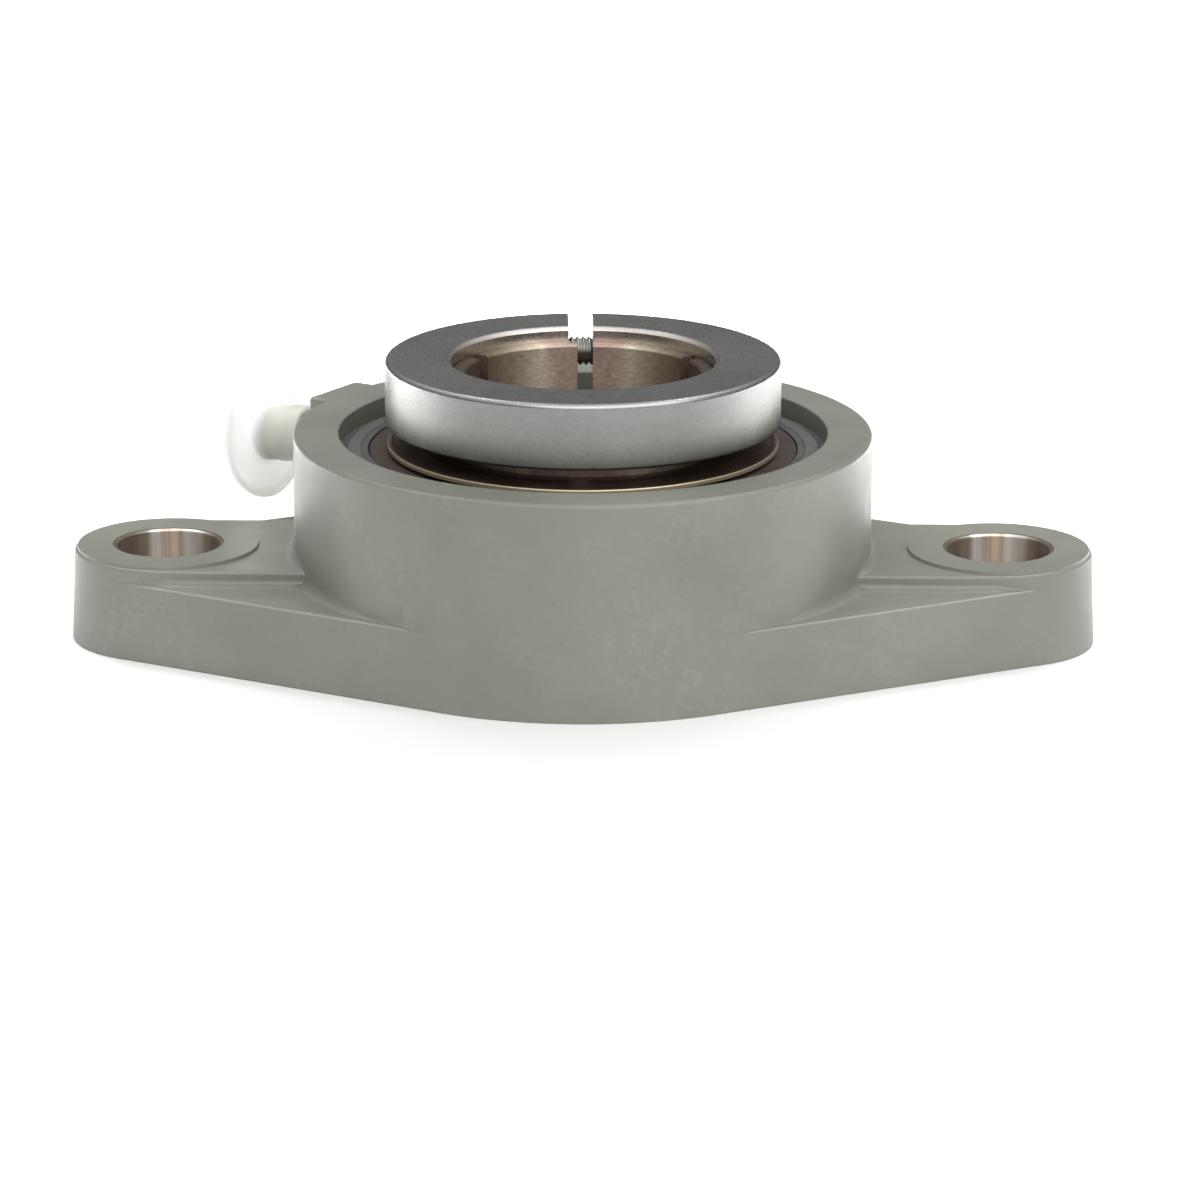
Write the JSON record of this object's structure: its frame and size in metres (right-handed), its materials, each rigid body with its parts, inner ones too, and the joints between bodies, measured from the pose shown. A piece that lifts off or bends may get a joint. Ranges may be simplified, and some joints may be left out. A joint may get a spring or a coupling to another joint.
{
  "type": "flange mount bearing",
  "caption": "Two-bolt flange bearing unit: plastic housing, self-aligning ball insert, split clamping collar and capped grease fitting.",
  "frame": {"origin": "on the shaft axis at the mounting face", "axes": "+X through the two bolt holes, +Z along the shaft axis away from the mounting face, towards the clamping collar"},
  "size_m": [0.1608, 0.0904, 0.0452],
  "materials": {
    "housing_plastic": "satin moulded, greenish grey",
    "cap_plastic": "translucent white, soft",
    "cage_nylon": "natural nylon",
    "seal_rubber": "dark brown black",
    "ring_steel": "ground bearing steel",
    "ball_steel": "polished",
    "collar_steel": "turned and plated",
    "screw_steel": "black oxide",
    "sleeve_steel": "plain",
    "yellow_zinc": "yellow zinc plated"
  },
  "bodies": {
    "housing": {"housing": "housing_plastic", "bolt_sleeve_left": "sleeve_steel", "bolt_sleeve_right": "sleeve_steel", "grease_fitting": "yellow_zinc", "grease_check_spring": "yellow_zinc"},
    "outer_ring": {"outer_ring": "ring_steel", "seal_front": "seal_rubber", "seal_back": "seal_rubber"},
    "inner_ring": {"inner_ring": "ring_steel", "flinger_front": "yellow_zinc", "flinger_back": "yellow_zinc"},
    "cage": {"cage": "cage_nylon"},
    "locking_collar": {"locking_collar": "collar_steel"},
    "collar_screw": {"collar_screw": "screw_steel"},
    "grease_cap": {"grease_cap": "cap_plastic"},
    "grease_check_ball": {"grease_check_ball": "ball_steel"},
    "ball_1": {"ball_1": "ball_steel"},
    "ball_2": {"ball_2": "ball_steel"},
    "ball_3": {"ball_3": "ball_steel"},
    "ball_4": {"ball_4": "ball_steel"},
    "ball_5": {"ball_5": "ball_steel"},
    "ball_6": {"ball_6": "ball_steel"},
    "ball_7": {"ball_7": "ball_steel"},
    "ball_8": {"ball_8": "ball_steel"},
    "ball_9": {"ball_9": "ball_steel"}
  },
  "joints": [
    {"name": "align_tilt", "type": "hinge", "parent": "housing", "child": "outer_ring", "pos_m": [0, 0, 0.021], "axis": [1, 0, 0], "range_deg": [-2, 2]},
    {"name": "shaft_spin", "type": "hinge", "parent": "outer_ring", "child": "inner_ring", "pos_m": [0, 0, 0.021], "axis": [0, 0, 1], "continuous": true},
    {"name": "cage_orbit", "type": "hinge", "parent": "outer_ring", "child": "cage", "pos_m": [0, 0, 0.021], "axis": [0, 0, 1], "continuous": true},
    {"name": "collar_turn", "type": "hinge", "parent": "inner_ring", "child": "locking_collar", "pos_m": [0, 0, 0.04015], "axis": [0, 0, 1], "continuous": true},
    {"name": "collar_screw_turn", "type": "hinge", "parent": "locking_collar", "child": "collar_screw", "pos_m": [-0.00089, 0.02548, 0.04015], "axis": [0.9994, 0.0349, 0], "range_deg": [0, 720]},
    {"name": "grease_cap_pull", "type": "slide", "parent": "housing", "child": "grease_cap", "axis": [-0.8443, 0.5174, -0.1392], "range_m": [0, 0.02]},
    {"name": "grease_check_ball_press", "type": "slide", "parent": "housing", "child": "grease_check_ball", "axis": [0.8443, -0.5174, 0.1392], "range_m": [0, 0.0006], "stiffness_N_per_m": 100, "springref_m": -0.001},
    {"name": "ball_1_roll", "type": "hinge", "parent": "cage", "child": "ball_1", "pos_m": [0.02675, 0, 0.021], "axis": [0, 0, 1], "continuous": true},
    {"name": "ball_2_roll", "type": "hinge", "parent": "cage", "child": "ball_2", "pos_m": [0.02049, 0.01719, 0.021], "axis": [0, 0, 1], "continuous": true},
    {"name": "ball_3_roll", "type": "hinge", "parent": "cage", "child": "ball_3", "pos_m": [0.00464, 0.02634, 0.021], "axis": [0, 0, 1], "continuous": true},
    {"name": "ball_4_roll", "type": "hinge", "parent": "cage", "child": "ball_4", "pos_m": [-0.01337, 0.02317, 0.021], "axis": [0, 0, 1], "continuous": true},
    {"name": "ball_5_roll", "type": "hinge", "parent": "cage", "child": "ball_5", "pos_m": [-0.02514, 0.00915, 0.021], "axis": [0, 0, 1], "continuous": true},
    {"name": "ball_6_roll", "type": "hinge", "parent": "cage", "child": "ball_6", "pos_m": [-0.02514, -0.00915, 0.021], "axis": [0, 0, 1], "continuous": true},
    {"name": "ball_7_roll", "type": "hinge", "parent": "cage", "child": "ball_7", "pos_m": [-0.01337, -0.02317, 0.021], "axis": [0, 0, 1], "continuous": true},
    {"name": "ball_8_roll", "type": "hinge", "parent": "cage", "child": "ball_8", "pos_m": [0.00464, -0.02634, 0.021], "axis": [0, 0, 1], "continuous": true},
    {"name": "ball_9_roll", "type": "hinge", "parent": "cage", "child": "ball_9", "pos_m": [0.02049, -0.01719, 0.021], "axis": [0, 0, 1], "continuous": true}
  ],
  "couplings": [
    {"joint": "cage_orbit", "follows": "shaft_spin", "ratio": 0.39615},
    {"joint": "ball_1_roll", "follows": "shaft_spin", "ratio": -2.3035},
    {"joint": "ball_2_roll", "follows": "shaft_spin", "ratio": -2.3035},
    {"joint": "ball_3_roll", "follows": "shaft_spin", "ratio": -2.3035},
    {"joint": "ball_4_roll", "follows": "shaft_spin", "ratio": -2.3035},
    {"joint": "ball_5_roll", "follows": "shaft_spin", "ratio": -2.3035},
    {"joint": "ball_6_roll", "follows": "shaft_spin", "ratio": -2.3035},
    {"joint": "ball_7_roll", "follows": "shaft_spin", "ratio": -2.3035},
    {"joint": "ball_8_roll", "follows": "shaft_spin", "ratio": -2.3035},
    {"joint": "ball_9_roll", "follows": "shaft_spin", "ratio": -2.3035}
  ]
}
